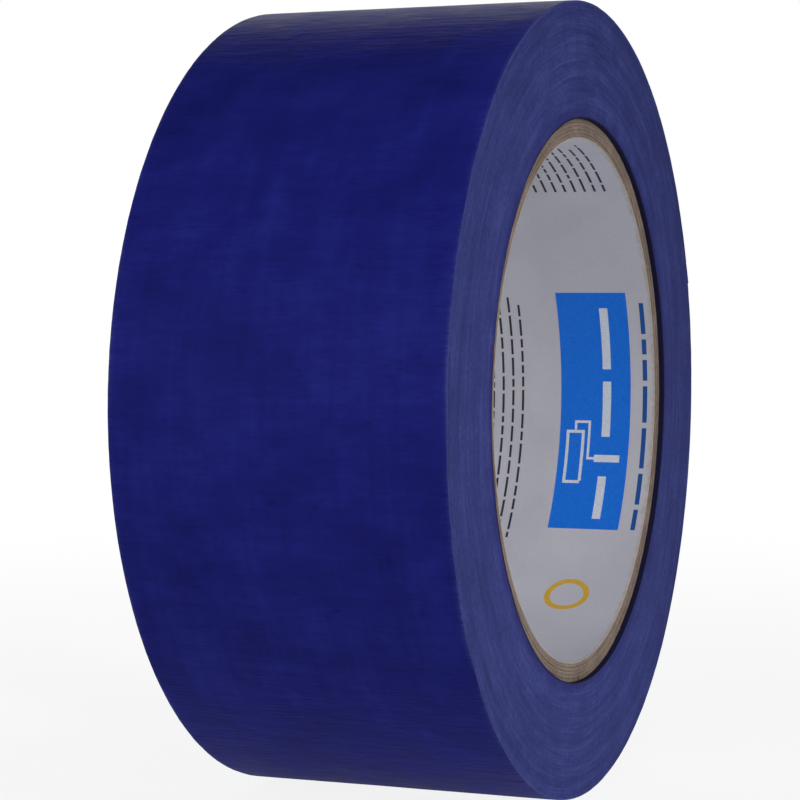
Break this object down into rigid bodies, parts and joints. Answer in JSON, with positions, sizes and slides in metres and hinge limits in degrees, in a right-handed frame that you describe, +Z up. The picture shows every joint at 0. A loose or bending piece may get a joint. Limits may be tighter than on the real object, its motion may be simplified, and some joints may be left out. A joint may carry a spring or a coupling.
{
  "type": "masking tape roll",
  "caption": "Wide roll of navy crepe masking tape wound on a recessed paper core with a printed white liner, with a free end that peels off the roll.",
  "frame": {"origin": "centre of the core's bore, halfway along the roll's width", "axes": "+Y along the roll's axis and +Z up, as the roll stands on its rim; the tape's free end lies on the +X side and points down, and the printed core is read through the -Y end"},
  "size_m": [0.1161, 0.048, 0.1162],
  "materials": {
    "tape": "satin",
    "board": "matte",
    "liner": "satin"
  },
  "bodies": {
    "roll": {"core_liner": "liner", "core_inner_ply": "board", "core_second_ply": "board", "core_middle_ply": "board", "core_fourth_ply": "board", "core_outer_ply": "board", "tape_winding": "tape"},
    "tail_01": {"tape_tail_01": "tape"},
    "tail_02": {"tape_tail_02": "tape"},
    "tail_03": {"tape_tail_03": "tape"},
    "tail_04": {"tape_tail_04": "tape"},
    "tail_05": {"tape_tail_05": "tape"},
    "tail_06": {"tape_tail_06": "tape"},
    "tail_07": {"tape_tail_07": "tape"},
    "tail_08": {"tape_tail_08": "tape"},
    "tail_09": {"tape_tail_09": "tape"},
    "tail_10": {"tape_tail_10": "tape"},
    "tail_11": {"tape_tail_11": "tape"},
    "tail_12": {"tape_tail_12": "tape"}
  },
  "joints": [
    {"name": "tail_peel", "type": "hinge", "parent": "roll", "child": "tail_01", "pos_m": [0.02743, 0, 0.05131], "axis": [0, -1, 0], "range_deg": [0, 90]},
    {"name": "tail_curl", "type": "hinge", "parent": "tail_01", "child": "tail_02", "pos_m": [0.03073, 0, 0.04941], "axis": [0, -1, 0], "range_deg": [0, 12]},
    {"name": "tail_curl_03", "type": "hinge", "parent": "tail_02", "child": "tail_03", "pos_m": [0.03389, 0, 0.0473], "axis": [0, -1, 0], "range_deg": [0, 12]},
    {"name": "tail_curl_04", "type": "hinge", "parent": "tail_03", "child": "tail_04", "pos_m": [0.03691, 0, 0.04498], "axis": [0, -1, 0], "range_deg": [0, 12]},
    {"name": "tail_curl_05", "type": "hinge", "parent": "tail_04", "child": "tail_05", "pos_m": [0.03978, 0, 0.04247], "axis": [0, -1, 0], "range_deg": [0, 12]},
    {"name": "tail_curl_06", "type": "hinge", "parent": "tail_05", "child": "tail_06", "pos_m": [0.04247, 0, 0.03978], "axis": [0, -1, 0], "range_deg": [0, 12]},
    {"name": "tail_curl_07", "type": "hinge", "parent": "tail_06", "child": "tail_07", "pos_m": [0.04498, 0, 0.03692], "axis": [0, -1, 0], "range_deg": [0, 12]},
    {"name": "tail_curl_08", "type": "hinge", "parent": "tail_07", "child": "tail_08", "pos_m": [0.0473, 0, 0.0339], "axis": [0, -1, 0], "range_deg": [0, 12]},
    {"name": "tail_curl_09", "type": "hinge", "parent": "tail_08", "child": "tail_09", "pos_m": [0.04942, 0, 0.03073], "axis": [0, -1, 0], "range_deg": [0, 12]},
    {"name": "tail_curl_10", "type": "hinge", "parent": "tail_09", "child": "tail_10", "pos_m": [0.05132, 0, 0.02743], "axis": [0, -1, 0], "range_deg": [0, 12]},
    {"name": "tail_curl_11", "type": "hinge", "parent": "tail_10", "child": "tail_11", "pos_m": [0.05301, 0, 0.02402], "axis": [0, -1, 0], "range_deg": [0, 12]},
    {"name": "tail_curl_12", "type": "hinge", "parent": "tail_11", "child": "tail_12", "pos_m": [0.05447, 0, 0.0205], "axis": [0, -1, 0], "range_deg": [0, 12]}
  ],
  "couplings": [
    {"joint": "tail_curl_03", "follows": "tail_curl", "ratio": 1},
    {"joint": "tail_curl_04", "follows": "tail_curl", "ratio": 1},
    {"joint": "tail_curl_05", "follows": "tail_curl", "ratio": 1},
    {"joint": "tail_curl_06", "follows": "tail_curl", "ratio": 1},
    {"joint": "tail_curl_07", "follows": "tail_curl", "ratio": 1},
    {"joint": "tail_curl_08", "follows": "tail_curl", "ratio": 1},
    {"joint": "tail_curl_09", "follows": "tail_curl", "ratio": 1},
    {"joint": "tail_curl_10", "follows": "tail_curl", "ratio": 1},
    {"joint": "tail_curl_11", "follows": "tail_curl", "ratio": 1},
    {"joint": "tail_curl_12", "follows": "tail_curl", "ratio": 1}
  ]
}
